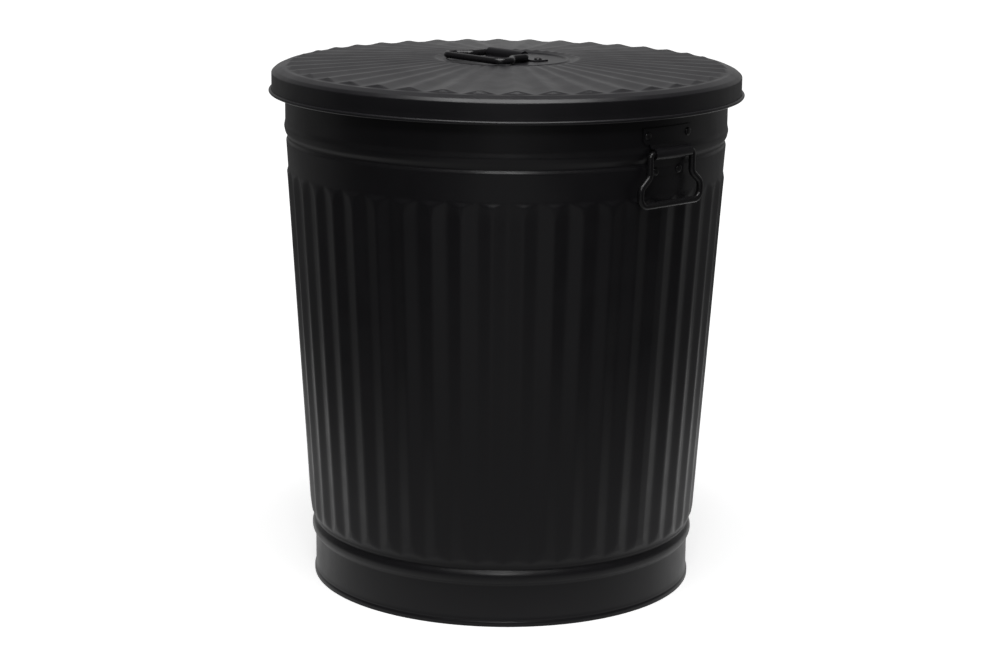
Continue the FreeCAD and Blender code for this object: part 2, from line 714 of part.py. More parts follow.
def boss_corners(drop):
    """The dome's inner edge, the bead round the recessed boss and the boss itself."""
    corners = [
        ("dome_edge_radius", "dome_edge_height"),
        ("boss_radius", "boss_height"),
        ("boss_bead_end", "boss_height"),
        ("boss_bead_falling", "boss_bead_height"),
        ("boss_bead_rising", "boss_bead_height"),
        ("boss_bead_start", "boss_height"),
        (None, "boss_height"),
    ]
    return [(radius, (height, drop)) for radius, height in corners] if drop else corners


def lid_shell(drill):
    """The fluted lid, drilled, its skirt's edge rolled outwards into a bead."""
    outside = lid_plug("lid_outside", [
        (None, "bead_level"),
        *curve("skirt_bead"),
        ("skirt_radius", "bead_seam"),
        *curve("shoulder"),
        *boss_corners(None),
    ], None)
    inside = lid_plug("lid_inside", [
        (None, "bead_level"),
        ("skirt_bore", "bead_level"),
        *curve("under"),
        *boss_corners("lid_sheet"),
    ], "lid_sheet")
    return boolean("Part::Cut", "lid_pan", boolean("Part::Cut", "lid_drilled", outside, drill), inside)


# ---------------------------------------------------------------------------------------------
# Assembly
# ---------------------------------------------------------------------------------------------

rivets = side_rivets()
pieces = [can_shell(rivets), rim_wire(), bottom_pan(), rivets]

for side, turn in TURNS.items():
    pieces.append(boolean("Part::Cut", f"bracket_{side}", side_bracket(f"blank_{side}", turn), rivets))
    pieces.append(side_bail(f"bail_{side}", turn))

fasteners = lid_rivets()
pieces.append(fasteners)
pieces.append(lid_shell(fasteners))
pieces.append(boolean("Part::Cut", "lid_bracket", lid_bracket(), fasteners))
pieces.append(lid_bail())

doc.recompute()

for obj in doc.Objects:
    if "Invalid" in obj.State or "Error" in obj.State:
        raise RuntimeError(f"{obj.Label} failed: {obj.State}")

os.makedirs("parts", exist_ok=True)
for piece in pieces:
    shape = piece.Shape
    if shape.isNull() or not shape.isValid() or not shape.Solids:
        raise RuntimeError(f"{piece.Label} has no valid solid")
    shape.exportStep(f"parts/{piece.Label}.step")
    print(f"{piece.Label}: {len(shape.Solids)} solid(s), {shape.Volume / 1000:.1f} cm3")
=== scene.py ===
"""A round fluted trash can of black-coated galvanized steel, with its fluted lid and three drop handles.

Lengths are in millimetres until a mesh is made. +Z is up, +X the side handle over the seam.
"""

import math

import bpy
import numpy as np
from mathutils import Matrix, Vector


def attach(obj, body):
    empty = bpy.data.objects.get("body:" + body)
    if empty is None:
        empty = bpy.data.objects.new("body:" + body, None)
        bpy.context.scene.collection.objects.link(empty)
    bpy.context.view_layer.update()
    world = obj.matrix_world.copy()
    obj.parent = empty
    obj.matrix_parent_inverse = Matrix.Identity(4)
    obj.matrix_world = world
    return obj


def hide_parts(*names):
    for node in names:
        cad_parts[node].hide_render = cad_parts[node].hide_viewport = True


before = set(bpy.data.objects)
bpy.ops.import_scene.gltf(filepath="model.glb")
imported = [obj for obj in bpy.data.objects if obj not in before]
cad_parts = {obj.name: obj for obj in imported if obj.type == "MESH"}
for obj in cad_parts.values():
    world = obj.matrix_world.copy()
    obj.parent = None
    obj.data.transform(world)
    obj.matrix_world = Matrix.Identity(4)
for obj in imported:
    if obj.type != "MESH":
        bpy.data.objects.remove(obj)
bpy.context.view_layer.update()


# ---------------------------------------------------------------------------------------------
# Wall of the can
# One galvanized steel sheet rolled to a tapering shell, with 47 flutes pressed in, a half-round
# bead near the foot and a swage under the rim. Its top edge is rolled outwards round a wire, and
# its foot is turned in under the floor.
# ---------------------------------------------------------------------------------------------

# Thickness of the sheet, here and in the lid
SHEET = 0.8

# The roll round the wire: height and radius of its centre, inner and outer radius, degrees round it
RIM_HEIGHT, CURL_CENTRE = 586.4, 256.25
CURL_BORE, CURL_TUBE = 4.8, 5.55
CURL_START, CURL_END = 180.0, -120.0

# Inner edge of the foot, turned in under the floor
HEM_BORE = 214.5

# Outside along a crest: radius, height, bend radius
WALL_CORNERS = [
    (220.3, 0.0, 0.0),
    (220.3, 4.4, 0.9),
    (218.8, 6.2, 0.9),
    (218.8, 48.0, 1.2),
    (227.2, 56.5, 10.4),
    (218.7, 65.0, 1.2),
    (218.8, 67.0, 1.0),
    (224.1, 77.2, 4.0),
    (225.4, 86.0, 12.0),
    (249.95, 473.6, 2.5),
    (248.5, 478.8, 2.5),
    (250.5, 510.4, 0.9),
    (248.3, 514.2, 1.8),
    (251.6, 520.6, 3.0),
    (252.8, 526.4, 4.0),
    (251.5, 533.0, 4.0),
    (251.5, RIM_HEIGHT, 0.0),
]

# Rows up the wall: from height, to height, how many; close together where the sheet bends
WALL_ROWS = [
    (0.0, 6.6, 6),
    (12.0, 46.5, 3),
    (47.6, 68.0, 16),
    (69.5, 88.0, 11),
    (110.0, 450.0, 8),
    (458.0, 481.0, 14),
    (487.0, 508.5, 3),
    (509.6, 535.5, 19),
    (550.0, 578.0, 2),
]

# Flutes at an even pitch in degrees, except over the seam, where a wider plain strip is left
FLUTES = 47
SEAM_GAP = 9.4
PITCH = (360.0 - SEAM_GAP) / (FLUTES - 1)

# Across a flute: slope of its sides, half width of its flat floor, rounding where they meet
FLUTE_SLOPE = math.tan(math.radians(11.0))
FLOOR_HALF = 1.75
FLUTE_BLEND = 0.13

# Floors of the flutes, heights and radii; a radius past the crests' leaves the wall plain there
VALLEY_HEIGHTS = [0.0, 67.0, 68.0, 460.0, 466.0, 473.0, 478.0, 481.0, 600.0]
VALLEY_RADII = [400.0, 400.0, 221.68, 246.03, 246.62, 247.55, 248.55, 249.5, 400.0]

# Columns across one flute, in half pitches from its floor's middle
FLUTE_COLUMNS = np.array([
    -1.0, -0.95, -0.89, -0.83, -0.6, -0.32, -0.14, -0.07,
    0.0, 0.07, 0.14, 0.32, 0.6, 0.83, 0.89, 0.95,
])

# Soft dents from use: angle, height, depth, spread along the wall
WALL_DENTS = [
    (-44.0, 505.0, 0.45, 16.0),
    (-36.0, 452.0, 0.5, 20.0),
    (-12.0, 455.0, 0.45, 14.0),
    (-5.0, 96.0, 0.6, 11.0),
    (-70.0, 250.0, 0.4, 26.0),
    (95.0, 380.0, 0.5, 24.0),
    (160.0, 140.0, 0.6, 20.0),
    (215.0, 420.0, 0.5, 28.0),
    (262.0, 90.0, 0.5, 16.0),
]

# Slow waviness of the sheet: depth, lowest and highest place, run over which it fades, and its waves
# as a count round the can, a height for one radian and a start in radians
WAVE_DEPTH = 0.12
WAVE_LOW, WAVE_HIGH, WAVE_FADE = 90.0, 505.0, 60.0
WALL_WAVES = [(3.0, 70.0, 0.0), (5.0, -52.0, 1.3)]

# Radius at which the dents' spread along the wall is measured
MEAN_RADIUS = 240.0

# A corner that bends by less than a degree is left sharp
NO_BEND = math.radians(89.5)

MILLIMETRE = 0.001


def rounded(corners, steps=6):
    """A path of straight runs whose corners (x, y, bend radius) are arcs.

    Each arc leaves its runs radius / tan(half the corner's angle) from the corner, and its points
    turn evenly about the arc's centre.
    """
    corners = np.array(corners, float)
    path = [corners[:1, :2]]
    for before, corner, after in zip(corners, corners[1:], corners[2:]):
        spot, radius = corner[:2], corner[2]
        back = (before[:2] - spot) / np.linalg.norm(before[:2] - spot)
        onward = (after[:2] - spot) / np.linalg.norm(after[:2] - spot)
        half = 0.5 * math.acos(np.clip(back @ onward, -1.0, 1.0))
        if radius == 0.0 or half > NO_BEND:
            path.append(spot[None])
            continue
        centre = spot + (back + onward) / np.linalg.norm(back + onward) * radius / math.sin(half)
        start = spot + back * radius / math.tan(half) - centre
        end = spot + onward * radius / math.tan(half) - centre
        turn, sweep = np.linspace(0.0, 1.0, steps + 1)[:, None], math.pi - 2.0 * half
        arc = start * np.sin((1.0 - turn) * sweep) + end * np.sin(turn * sweep)
        path.append(centre + arc / math.sin(sweep))
    path.append(corners[-1:, :2])
    return np.concatenate(path)


def soft_min(a, b, blend):
    """The smaller of two surfaces, with their meeting line rounded.

    It is minus the blend times the logarithm of the sum of exp(-a / blend) and exp(-b / blend).
    """
    return -blend * np.logaddexp(-a / blend, -b / blend)


def soft_max(a, b, blend):
    """The larger of two surfaces, with their meeting line rounded: the soft minimum of both turned over."""
    return -soft_min(-a, -b, blend)


def grid_faces(rows, columns, close_rows=False, close_columns=False):
    """Quads of a grid of rows x columns points, facing out where rows run up, columns anticlockwise."""
    index = np.arange(rows * columns).reshape(rows, columns)
    if close_columns:
        index = np.concatenate([index, index[:, :1]], axis=1)
    if close_rows:
        index = np.concatenate([index, index[:1]], axis=0)
    cells = np.stack([index[:-1, :-1], index[:-1, 1:], index[1:, 1:], index[1:, :-1]], axis=-1)
    return cells.reshape(-1, 4).tolist()


def make_piece(name, points, faces, material, crease=40.0):
    """A smooth mesh object from points in millimetres, sharp where faces meet at more than the crease."""
    mesh = bpy.data.meshes.new(name)
    mesh.from_pydata((np.asarray(points).reshape(-1, 3) * MILLIMETRE).tolist(), [], faces)
    mesh.validate()
    mesh.shade_smooth()
    mesh.set_sharp_from_angle(angle=math.radians(crease))
    mesh.materials.append(material)
    made = bpy.data.objects.new(name, mesh)
    bpy.context.scene.collection.objects.link(made)
    return made


def around_axis(radius, height, angles):
    """Points round +Z: radius and height by row, or by row and column, and angles in degrees by column."""
    turn = np.radians(angles)[None, :]
    radius, height = np.broadcast_arrays(radius, height)
    spots = [radius * np.cos(turn), radius * np.sin(turn), height + 0.0 * turn]
    return np.stack(spots, axis=-1)


def linear(code):
    """Linear red, green, blue and alpha from an sRGB hex colour."""
    parts = np.array([int(code[i:i + 2], 16) for i in (1, 3, 5)]) / 255.0
    light = np.where(parts <= 0.04045, parts / 12.92, ((parts + 0.055) / 1.055) ** 2.4)
    return (*light.tolist(), 1.0)


def add_node(tree, kind, inputs=(), **settings):
    """Adds a node with its settings, and gives each named input a value or a link from an output."""
    made = tree.nodes.new(kind)
    for key, value in settings.items():
        setattr(made, key, value)
    for key, value in dict(inputs).items():
        if isinstance(value, bpy.types.NodeSocket):
            tree.links.new(value, made.inputs[key])
        else:
            made.inputs[key].default_value = value
    return made


# Patterns of the coat, as one over a size in metres: patches of 45 mm, dust of 17 mm, peel of 4 mm
PATCH_SCALE, DUST_SCALE, PEEL_SCALE = 22.0, 60.0, 250.0
PEEL_DEPTH = 0.0002

# Dust lies on faces within about 40 degrees of level
DUST_FROM = 0.75


def powder_coat(name, colour, dusty, smooth, matt, peel):
    """Satin black powder coat: a baked plastic film on galvanized steel, uneven like orange peel.

    Its colour pales where dust lies on upward faces, and its roughness drifts between smooth and matt
    in patches. The real peel is 1 to 2 mm across; it is drawn at 4 mm so that it shows.
    """
    material = bpy.data.materials.new(name)
    material.use_nodes = True
    tree = material.node_tree
    tree.nodes.clear()
    place = add_node(tree, "ShaderNodeTexCoord").outputs["Object"]
    patches = add_node(tree, "ShaderNodeTexNoise", {
        "Vector": place, "Scale": PATCH_SCALE, "Detail": 3.0, "Roughness": 0.6,
    })
    rough = add_node(tree, "ShaderNodeMapRange", {
        "Value": patches.outputs["Fac"], "From Min": 0.3, "From Max": 0.7,
        "To Min": smooth, "To Max": matt,
    })
    facing = add_node(tree, "ShaderNodeNewGeometry").outputs["Normal"]
    upward = add_node(tree, "ShaderNodeSeparateXYZ", {"Vector": facing})
    settled = add_node(tree, "ShaderNodeMapRange", {
        "Value": upward.outputs["Z"], "From Min": DUST_FROM, "From Max": 1.0,
    })
    grains = add_node(tree, "ShaderNodeTexNoise", {
        "Vector": place, "Scale": DUST_SCALE, "Detail": 6.0, "Roughness": 0.7,
    })
    spread = add_node(tree, "ShaderNodeMath", {
        0: settled.outputs["Result"], 1: grains.outputs["Fac"],
    }, operation="MULTIPLY")
    tint = add_node(tree, "ShaderNodeMix", {
        0: spread.outputs[0], 6: linear(colour), 7: linear(dusty),
    }, data_type="RGBA")
    film = add_node(tree, "ShaderNodeTexNoise", {"Vector": place, "Scale": PEEL_SCALE, "Detail": 2.0})
    bump = add_node(tree, "ShaderNodeBump", {
        "Height": film.outputs["Fac"], "Strength": peel, "Distance": PEEL_DEPTH,
    })
    coat = add_node(tree, "ShaderNodeBsdfPrincipled", {
        "Base Color": tint.outputs[2], "Roughness": rough.outputs["Result"], "IOR": 1.5,
        "Normal": bump.outputs["Normal"],
    })
    add_node(tree, "ShaderNodeOutputMaterial", {"Surface": coat.outputs["BSDF"]})
    return material


# Satin black powder coat on pressed sheet: near black, with soft and broad highlights
satin_black = powder_coat(
    "satin_black_powder_coat", colour="#1c1b1e", dusty="#2c2b2e", smooth=0.30, matt=0.40, peel=0.25,
)

wall_path = rounded(WALL_CORNERS)
wall_heights = np.concatenate([np.linspace(*run) for run in WALL_ROWS])
half_pitch = PITCH / 2.0
flute_middles = SEAM_GAP / 2.0 + PITCH * np.arange(FLUTES)
wall_angles = (flute_middles[:, None] + FLUTE_COLUMNS * half_pitch).ravel()
wall_angles = np.append(wall_angles, [360.0 - SEAM_GAP / 2.0 + half_pitch, 360.0])
from_floor = np.append(np.tile(FLUTE_COLUMNS * half_pitch, FLUTES), [half_pitch, SEAM_GAP / 2.0])


def wall_radius(heights):
    """Radius of the wall's outside at each height (rows) and column.

    A flute's floor is a flat, so its radius is the valley's over the cosine of the angle from its middle,
    and its sides rise from the floor's edge at the flute's slope. The wall is the smaller of the crest
    line and the flute, less a slow waviness of the sheet and less the dents, which are bell curves.
    """
    heights = heights[:, None]
    crest = np.interp(heights, wall_path[:, 1], wall_path[:, 0])
    valley = np.interp(heights, VALLEY_HEIGHTS, VALLEY_RADII)
    off = np.abs(np.radians(from_floor))[None, :]
    floor = valley / np.cos(off)
    side = (valley - FLUTE_SLOPE * FLOOR_HALF) / (np.cos(off) - FLUTE_SLOPE * np.sin(off))
    radius = soft_min(crest, soft_max(floor, side, FLUTE_BLEND), FLUTE_BLEND)
    turn = np.radians(wall_angles)[None, :]
    fade_in = np.clip((heights - WAVE_LOW) / WAVE_FADE, 0.0, 1.0)
    fade_out = np.clip((WAVE_HIGH - heights) / WAVE_FADE, 0.0, 1.0)
    waves = sum(np.sin(count * turn + heights / run + start) for count, run, start in WALL_WAVES)
    radius = radius - WAVE_DEPTH * fade_in * fade_out * (1.0 + waves / len(WALL_WAVES))
    for angle, height, depth, spread in WALL_DENTS:
        away = (wall_angles[None, :] - angle + 180.0) % 360.0 - 180.0
        along = np.radians(away) * MEAN_RADIUS
        radius = radius - depth * np.exp(-(along ** 2 + (heights - height) ** 2) / (2.0 * spread ** 2))
    return radius


# Up the outside, round the roll and back over it, down the inside with a third of the rows, and to
# the hem's edge. The last row closes on the first.
outside = wall_radius(wall_heights)
inside_heights = np.concatenate([wall_heights[::-1][::3], [SHEET]])
inside = wall_radius(inside_heights) - SHEET
roll_in = np.radians(np.linspace(CURL_START, CURL_END, 13))[:, None]
roll_out = np.radians(np.linspace(CURL_END, CURL_START, 16))[:, None]
roll = np.concatenate([
    np.concatenate([CURL_BORE * np.cos(roll_in), CURL_BORE * np.sin(roll_in)], axis=1),
    np.concatenate([CURL_TUBE * np.cos(roll_out), CURL_TUBE * np.sin(roll_out)], axis=1),
])
wall_points = np.concatenate([
    around_axis(outside, wall_heights[:, None], wall_angles),
    around_axis(CURL_CENTRE + roll[:, :1], RIM_HEIGHT + roll[:, 1:], wall_angles),
    around_axis(inside, inside_heights[:, None], wall_angles),
    around_axis(np.array([[HEM_BORE], [HEM_BORE]]), np.array([[SHEET], [0.0]]), wall_angles),
])
wall_faces = grid_faces(len(wall_points), len(wall_angles), close_rows=True, close_columns=True)
can_wall = make_piece("fluted_wall", wall_points, wall_faces, satin_black)
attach(can_wall, "can")
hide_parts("can_wall")


# ---------------------------------------------------------------------------------------------
# Rim wire
# A hoop of bare galvanized wire, 9.5 mm thick, that the wall's top edge is rolled round. It only
# shows in the slit under the roll, once the lid is off.
# ---------------------------------------------------------------------------------------------

# Hot-dip galvanizing leaves a dull grey zinc skin with crystal patches, here about 8 mm across
CRYSTAL_SCALE = 120.0

galvanized = bpy.data.materials.new("galvanized_wire_zinc")
galvanized.use_nodes = True
zinc_tree = galvanized.node_tree
zinc_tree.nodes.clear()
zinc_place = add_node(zinc_tree, "ShaderNodeTexCoord").outputs["Object"]
crystals = add_node(zinc_tree, "ShaderNodeTexVoronoi", {"Vector": zinc_place, "Scale": CRYSTAL_SCALE})
zinc_tone = add_node(zinc_tree, "ShaderNodeMix", {
    0: crystals.outputs["Distance"], 6: linear("#9a9ea1"), 7: linear("#b9bdbf"),
}, data_type="RGBA")
zinc_skin = add_node(zinc_tree, "ShaderNodeBsdfPrincipled", {
    "Base Color": zinc_tone.outputs[2], "Metallic": 1.0, "Roughness": 0.45,
})
add_node(zinc_tree, "ShaderNodeOutputMaterial", {"Surface": zinc_skin.outputs["BSDF"]})
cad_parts["rim_wire"].data.materials.clear()
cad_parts["rim_wire"].data.materials.append(galvanized)


# ---------------------------------------------------------------------------------------------
# Floor pan
# A flat steel disc with a turned-down flange, pressed into the foot; coated like the rest, and
# duller and dustier, because rubbish bags rub on it.
# ---------------------------------------------------------------------------------------------

# The same coat after years of use: greyer where dust lies, and matt from rubbing
worn_coat = powder_coat(
    "worn_black_powder_coat", colour="#201f21", dusty="#3b3936", smooth=0.42, matt=0.6, peel=0.3,
)
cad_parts["bottom_pan"].data.materials.clear()
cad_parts["bottom_pan"].data.materials.append(worn_coat)


# ---------------------------------------------------------------------------------------------
# Lid
# One pressed sheet: a low dome with 40 ridges fanning out from a sunk boss, each ending in a
# small gable before a plain shoulder, and a skirt whose edge is rolled into a bead.
# ---------------------------------------------------------------------------------------------

# Height from which the lid's own heights are measured, with the lid lying on the can's rim
LID_REST = 585.1957

# Ridges at an even step in degrees; the turn puts the middle of the first valley
LID_RIDGES = 40
LID_TURN = -0.5
LID_STEP = 360.0 / LID_RIDGES

# Shares of the half step where a ridge's side starts and ends, and its rise for each millimetre outwards
VALLEY_SHARE, CREST_SHARE = 0.107, 0.893
RIDGE_RISE = 2.9 / 238.0
RIDGE_BLEND = 0.12

# Gables that end the ridges: radius where they meet the valley, slope
GABLE_END = 250.6
GABLE_SLOPE = math.tan(math.radians(32.0))

# Sunk boss: level of its flat, radius and slope of the wall round it, rounding of its foot and edge,
# and the raised ring on it, by middle radius, half width and rise
BOSS_LEVEL = 15.4717
BOSS_RADIUS = 75.0
BOSS_WALL = 3.3 / 9.0
BOSS_FOOT_BLEND, BOSS_EDGE_BLEND = 0.8, 0.35
RING_RADIUS, RING_HALF, RING_RISE = 69.0, 4.0, 1.85

# Slow waviness of the dome: depth, waves round it, millimetres for one radian outwards, and the radii
# between which it shows, each with the run over which it fades
DOME_WAVE, DOME_WAVES, DOME_WAVE_RUN = 0.18, 2.0, 60.0
DOME_WAVE_START, DOME_WAVE_IN = 90.0, 60.0
DOME_WAVE_END, DOME_WAVE_OUT = 256.0, 20.0

# Edge bead: radius and height of its centre, its own radius, and degrees round it where the sheet joins
BEAD_CENTRE, BEAD_LEVEL, BEAD_TUBE = 267.95, -18.9, 2.05
BEAD_START, BEAD_END = 127.0, -180.0

# Radius where the ridged rows end and the plain shoulder starts
SHOULDER_START = 252.5

# Bottoms of the valleys, then shoulder and skirt: radius, height, bend radius
LID_CORNERS = [
    (60.0, 18.738, 0.0),
    (240.0, 8.95, 40.0),
    (255.5, 8.6, 6.0),
    (262.8, 5.4, 6.0),
    (266.7, 1.9, 2.2),
    (266.7, -17.2, 0.0),
]

# Rows outwards from the middle: from radius, to radius, how many
LID_ROWS = [
    (10.0, 62.0, 4),
    (64.5, 73.5, 13),
    (74.4, 86.0, 10),
    (92.0, 236.0, 12),
    (239.0, 251.5, 15),
]

# Columns across one ridge and its valley, in half steps from the valley's middle
LID_COLUMNS = np.array([
    -1.0, -0.95, -0.9, -0.84, -0.62, -0.36, -0.16, -0.08,
    0.0, 0.08, 0.16, 0.36, 0.62, 0.84, 0.9, 0.95,
])

lid_path = rounded(LID_CORNERS)
lid_rows = np.concatenate([np.linspace(*run) for run in LID_ROWS])
valley_middles = LID_TURN + LID_STEP * np.arange(LID_RIDGES)
lid_angles = (valley_middles[:, None] + LID_COLUMNS * LID_STEP / 2.0).ravel()
from_valley = np.tile(np.abs(LID_COLUMNS), LID_RIDGES)


def lid_height(radii):
    """Height of the lid's outside at each radius (rows) and column.

    Ridges stand on the valley line: their height is the rise times the radius, times the share of the
    way from valley to crest, and no more than the gable's slope allows. A slow waviness is added. The
    boss is a flat with a ring, a squared cosine across, and a sloping wall; the lower surface counts.
    """
    radii = radii[:, None]
    share = np.clip((from_valley - VALLEY_SHARE) / (CREST_SHARE - VALLEY_SHARE), 0.0, 1.0)[None, :]
    gable = (GABLE_END - radii) * GABLE_SLOPE
    ridge = soft_max(soft_min(RIDGE_RISE * radii * share, gable, RIDGE_BLEND), 0.0, RIDGE_BLEND)
    dome = np.interp(radii, lid_path[:, 0], lid_path[:, 1]) + ridge
    turn = np.radians(lid_angles)[None, :]
    fade_in = np.clip((radii - DOME_WAVE_START) / DOME_WAVE_IN, 0.0, 1.0)
    fade_out = np.clip((DOME_WAVE_END - radii) / DOME_WAVE_OUT, 0.0, 1.0)
    dome = dome + DOME_WAVE * np.sin(DOME_WAVES * turn + radii / DOME_WAVE_RUN) * fade_in * fade_out
    ring = RING_RISE * np.cos(np.pi / 2.0 * np.clip((radii - RING_RADIUS) / RING_HALF, -1.0, 1.0)) ** 2
    boss = BOSS_LEVEL + ring + BOSS_WALL * soft_max(radii - BOSS_RADIUS, 0.0, BOSS_FOOT_BLEND)
    return soft_min(boss, dome, BOSS_EDGE_BLEND)


# Outwards over the ridges, the shoulder and the skirt, round the bead, and back under them with half
# of the rows
shoulder = lid_path[lid_path[:, 0] > SHOULDER_START]
shoulder = np.concatenate([shoulder[:-1], np.linspace(shoulder[-2], shoulder[-1], 4)[1:]])
along = np.gradient(shoulder, axis=0)
outward = np.stack([-along[:, 1], along[:, 0]], axis=-1) / np.linalg.norm(along, axis=1)[:, None]
under_shoulder = (shoulder - SHEET * outward)[::-1][::2]
bead_turn = np.radians(np.linspace(BEAD_START, BEAD_END, 13))[:, None]
bead_radii = BEAD_CENTRE + BEAD_TUBE * np.cos(bead_turn)
bead_heights = BEAD_LEVEL + BEAD_TUBE * np.sin(bead_turn)
under_rows = lid_rows[::-1][::2]
outer_skin = around_axis(lid_rows[:, None], lid_height(lid_rows), lid_angles)
under_skin = around_axis(under_rows[:, None], lid_height(under_rows) - SHEET, lid_angles)
lid_points = np.concatenate([
    outer_skin,
    around_axis(shoulder[:, :1], shoulder[:, 1:], lid_angles),
    around_axis(bead_radii, bead_heights, lid_angles),
    around_axis(under_shoulder[:, :1], under_shoulder[:, 1:], lid_angles),
    under_skin,
])


def with_poles(points, first, last):
    """Points and faces of a grid closed round its columns, with a pole at each end of its rows."""
    rows, columns = points.shape[:2]
    faces = grid_faces(rows, columns, close_columns=True)
    ring = np.arange(columns)
    onward = np.roll(ring, -1)
    start = np.full(columns, rows * columns)
    base = (rows - 1) * columns
    faces += np.stack([start, onward, ring], axis=-1).tolist()
    faces += np.stack([start + 1, base + ring, base + onward], axis=-1).tolist()
    return np.concatenate([points.reshape(-1, 3), [first, last]]), faces


middle_top = (0.0, 0.0, BOSS_LEVEL)
middle_under = (0.0, 0.0, BOSS_LEVEL - SHEET)
lid_spots, lid_faces = with_poles(lid_points, middle_top, middle_under)
lid_faces = [face[::-1] for face in lid_faces]
lid_pan = make_piece("fluted_lid", lid_spots + [0.0, 0.0, LID_REST], lid_faces, satin_black)
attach(lid_pan, "lid")
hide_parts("lid_pan")


# ---------------------------------------------------------------------------------------------
# Handle brackets
# Strips of 1.6 mm steel, bent over the bail's bar into a knuckle, with a wide riveted flange above
# it and a riveted tongue below. The two on the can follow its curve; the lid's lies flat on the boss.
# ---------------------------------------------------------------------------------------------

# Thickness, half widths of the knuckle and the flange, and the cut-off corner of the flange
PLATE = 1.6
KNUCKLE_HALF = 28.25
FLANGE_HALF = 38.5
FLANGE_CHAMFER = 4.0

# The strip widens within this much of the flange's start, and has close rows from this far before it
FLANGE_STEP, FLANGE_RUN = 0.02, 1.5

# Where the flange starts: height on the can, distance along the strip on the lid
SIDE_FLANGE, LID_FLANGE = 535.6, 9.6

# Radius at which a side strip's width is measured round the can
STRIP_RADIUS = 264.0

# Faces that meet at more than this are drawn with a sharp edge
PLATE_CREASE = 50.0

# Face next to the wall: radius, height, bend radius
SIDE_STRAP = [
    (249.98, 500.5, 0.0),
    (250.6, 510.4, 3.0),
    (253.3, 521.3, 1.2),
    (263.35, 521.4, 4.55),
    (263.35, 530.6, 4.55),
    (253.2, 530.6, 1.3),
    (251.6, 535.2, 1.6),
    (251.6, 553.5, 0.0),
]

# Face next to the boss: height over it, distance along the strip, bend radius
LID_STRAP = [
    (0.1, -25.5, 0.0),
    (0.1, -9.3, 2.0),
    (1.6, -4.6, 1.2),
    (10.5, -4.6, 4.55),
    (10.5, 4.6, 4.55),
    (1.6, 4.6, 1.3),
    (0.1, 9.3, 1.6),
    (0.1, 27.5, 0.0),
]


def strap(corners, flange_start):
    """Front and back paths of a bent strip, with its half width on each row.

    The back path has the corners' bends; the front lies one plate's thickness away, square to the path.
    The half width is the knuckle's up to the flange, then the flange's, with its lower corners cut off.
    """
    path = rounded(corners, steps=8)
    extra = np.linspace(path[-2], path[-1], 12)[1:-1]
    steps_out = flange_start + np.array([-FLANGE_STEP, FLANGE_STEP, FLANGE_CHAMFER])
    path = np.concatenate([path[:-1], extra, path[-1:]])
    high = path[:, 1] > flange_start - FLANGE_RUN
    last = path[high]
    heights = np.unique(np.concatenate([last[:, 1], steps_out]))
    flange = np.stack([np.interp(heights, last[:, 1], last[:, 0]), heights], axis=-1)
    path = np.concatenate([path[~high], flange])
    width = np.interp(path[:, 1], steps_out, [KNUCKLE_HALF, FLANGE_HALF - FLANGE_CHAMFER, FLANGE_HALF])
    along = np.gradient(path, axis=0)
    square = np.stack([along[:, 1], -along[:, 0]], axis=-1) / np.linalg.norm(along, axis=1)[:, None]
    return path + PLATE * square, path, width


def plate_faces(rows, columns):
    """Faces of a plate between a front and a back grid of points, with its four edges closed."""
    front = np.array(grid_faces(rows, columns))
    index = np.arange(rows * columns).reshape(rows, columns)
    rim = np.concatenate([index[0, :-1], index[:-1, -1], index[-1, :0:-1], index[:0:-1, 0]])
    onward = np.roll(rim, -1)
    back = front[:, ::-1] + rows * columns
    edge = np.stack([onward, rim, rim + rows * columns, onward + rows * columns], axis=-1)
    return np.concatenate([front, back, edge]).tolist()


# Columns across a strip, in half widths
ACROSS = np.linspace(-1.0, 1.0, 25)


def on_the_wall(path, width, turn):
    """A strip's path wrapped round the can: a half width becomes the angle that has it as its sine."""
    angle = np.radians(turn) + ACROSS[None, :] * np.arcsin(width / STRIP_RADIUS)[:, None]
    radius = path[:, :1]
    return np.stack([radius * np.cos(angle), radius * np.sin(angle), path[:, 1:] + 0.0 * angle], axis=-1)


def on_the_boss(path, width):
    """A strip's path laid flat on the lid's boss: width along X, distance along Y."""
    spread = ACROSS[None, :] * width[:, None]
    height = LID_REST + BOSS_LEVEL + path[:, :1] + 0.0 * spread
    return np.stack([spread, path[:, 1:] + 0.0 * spread, height], axis=-1)


side_front, side_back, side_width = strap(SIDE_STRAP, SIDE_FLANGE)
for side, turn in (("right", 0.0), ("left", 180.0)):
    bracket_points = np.concatenate([
        on_the_wall(side_front, side_width, turn), on_the_wall(side_back, side_width, turn),
    ])
    bracket_faces = plate_faces(len(side_front), len(ACROSS))
    bracket = make_piece(f"handle_bracket_{side}", bracket_points, bracket_faces, satin_black, PLATE_CREASE)
    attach(bracket, "can")
    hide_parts(f"bracket_{side}")

lid_front, lid_back, lid_width = strap(LID_STRAP, LID_FLANGE)
bracket_points = np.concatenate([on_the_boss(lid_front, lid_width), on_the_boss(lid_back, lid_width)])
bracket_faces = plate_faces(len(lid_front), len(ACROSS))
top_bracket = make_piece("handle_bracket_lid", bracket_points, bracket_faces, satin_black, PLATE_CREASE)
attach(top_bracket, "lid")
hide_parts("lid_bracket")


# ---------------------------------------------------------------------------------------------
# Rivets
# Steel rivets with domed heads, 9 mm across, four for each bracket. They were set before coating, so
# they are as black as the sheet, and a little smoother.
# ---------------------------------------------------------------------------------------------

# Head and tail as shapes turned about the rivet's axis: distance outwards, radius, bend radius
RIVET_HEAD = [(4.1, 0.01, 0.0), (3.95, 2.2, 2.4), (2.9, 4.35, 1.6), (1.72, 4.5, 0.2), (1.65, 4.3, 0.0)]
RIVET_TAIL = [(-0.82, 3.8, 0.0), (-0.9, 4.0, 0.2), (-1.8, 3.7, 0.8), (-2.25, 2.2, 1.2), (-2.28, 0.01, 0.0)]

